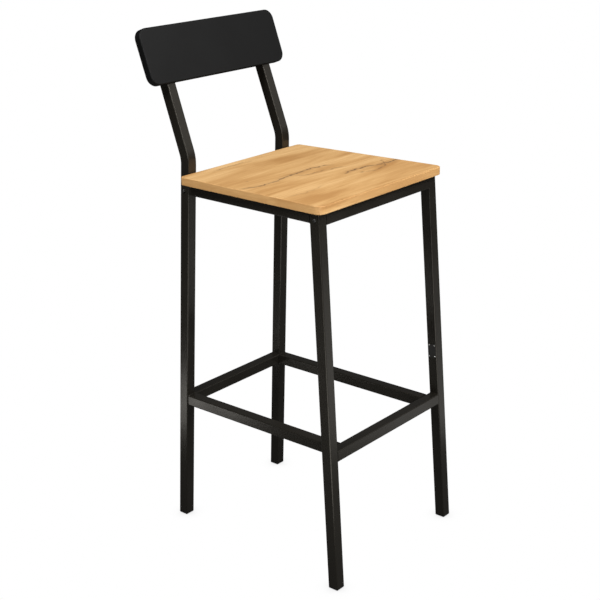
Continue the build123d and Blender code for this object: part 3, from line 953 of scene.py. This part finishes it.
world = bpy.data.worlds.new("studio")
world.use_nodes = True
bpy.context.scene.world = world
tree = world.node_tree
dim_room = tree.nodes["Background"]
dim_room.inputs["Color"].default_value = WHITE
dim_room.inputs["Strength"].default_value = DIM_ROOM
backdrop = add(tree, "ShaderNodeBackground", Color=WHITE, Strength=1.0)
two_faced(tree, tree.nodes["World Output"], backdrop, dim_room)
bpy.context.scene.view_settings.view_transform = "Standard"
print("floor and backdrop are white to look at, and", DIM_ROOM, "bright to the stool")


# %% [markdown]
# ## Light
#
# Two large softboxes stand high in front and on the left, so the seat keeps light off the inner
# faces of the frame, and they go dark as they should. Two weak ones, near the camera and on the
# right, only lift the deepest blacks. The frame is nearly black, so the rest of its shape shows
# only in what it mirrors, and seen from above an upright tube mirrors the floor. That is why three
# flat light panels lie on the floor. One, behind on the left, shades the legs' sides. One, in
# front, draws the thin highlight down their corners. The last, dim and long, lies on the right
# and lifts the faces that look forward, so they part from the sides.


# %% Two kinds of light
PANEL_RAISE = 0.002


def aimed(name, light, place, target):
    """Stands a light at a place and points it at a target."""
    lamp = bpy.data.objects.new(name, light)
    look = (Vector(target) - Vector(place)).to_track_quat("-Z", "Y").to_matrix().to_4x4()
    lamp.matrix_world = Matrix.Translation(place) @ look
    bpy.context.scene.collection.objects.link(lamp)


def softbox(name, place, target, size, power):
    """A rectangle of light on a stand, its size in metres and its power in watts."""
    light = bpy.data.lights.new(name, "AREA")
    light.shape = "RECTANGLE"
    light.size, light.size_y = size
    light.energy = power
    aimed(name, light, place, target)


def floor_panel(name, spot, heading, size, radiance):
    """A flat panel of light lying on the floor and shining up."""
    light = bpy.data.lights.new(name, "AREA")
    light.shape = "RECTANGLE"
    light.size, light.size_y = size
    light.energy = radiance * math.pi * size[0] * size[1]
    lamp = bpy.data.objects.new(name, light)
    turn = Matrix.Rotation(math.radians(heading), 4, "Z") @ Matrix.Rotation(math.pi, 4, "X")
    lamp.matrix_world = Matrix.Translation((spot[0], spot[1], PANEL_RAISE)) @ turn
    lamp.visible_camera = False
    bpy.context.scene.collection.objects.link(lamp)


print("softboxes and floor panels can be made")

# %% [markdown]
# Places are in metres from the middle of the stool's foot print. A softbox is set by its power, a
# panel by how bright it looks, so a panel can change size and keep its brightness.

# %% Set the lights
MIDDLE = (0, 0, 0.75)
softbox("front_softbox", (0.5, -2.1, 2.6), MIDDLE, (1.3, 1.0), 84)
softbox("left_softbox", (-1.9, 0.2, 2.9), MIDDLE, (1.0, 1.3), 62)
softbox("camera_softbox", (-2.1, -2.6, 1.5), (0, 0, 0.9), (2.2, 1.2), 36)
softbox("far_softbox", (1.7, -1.6, 1.7), (0, 0.2, 0.9), (1.3, 1.1), 2.6)
floor_panel("left_panel", (-0.66, 0.60), -41, (0.34, 0.28), 2.6)
floor_panel("right_panel", (1.10, -1.25), -41, (1.8, 0.58), 0.66)
floor_panel("front_panel", (-1.10, -1.20), 46, (1.9, 1.3), 2.4)

# %% [markdown]
# ## Camera
#
# The camera stands a little above the seat, in front and to the left, with a longish lens, so the
# legs keep nearly parallel. It's built from its heading, its tilt and a small roll.

# %% Camera
HEADING = math.radians(49.40)
TILT = math.radians(19.53)
ROLL = math.radians(-1.23)
CAMERA_PLACE = (-1.8141, -1.5573, 1.3342)
FOCAL_LENGTH, SENSOR_WIDTH = 75.43, 36
forward = Vector((math.sin(HEADING) * math.cos(TILT), math.cos(HEADING) * math.cos(TILT),
                  -math.sin(TILT)))
level = Vector((math.cos(HEADING), -math.sin(HEADING), 0))
upright = level.cross(forward)
right = level * math.cos(ROLL) + upright * math.sin(ROLL)
above = upright * math.cos(ROLL) - level * math.sin(ROLL)
lens = bpy.data.cameras.new("camera")
lens.sensor_width = SENSOR_WIDTH
lens.lens = FOCAL_LENGTH
camera = bpy.data.objects.new("camera", lens)
turn = Matrix((right, above, -forward)).transposed().to_4x4()
camera.matrix_world = Matrix.Translation(CAMERA_PLACE) @ turn
bpy.context.scene.collection.objects.link(camera)
bpy.context.scene.camera = camera
print("camera at", CAMERA_PLACE, "with a", FOCAL_LENGTH, "mm lens")
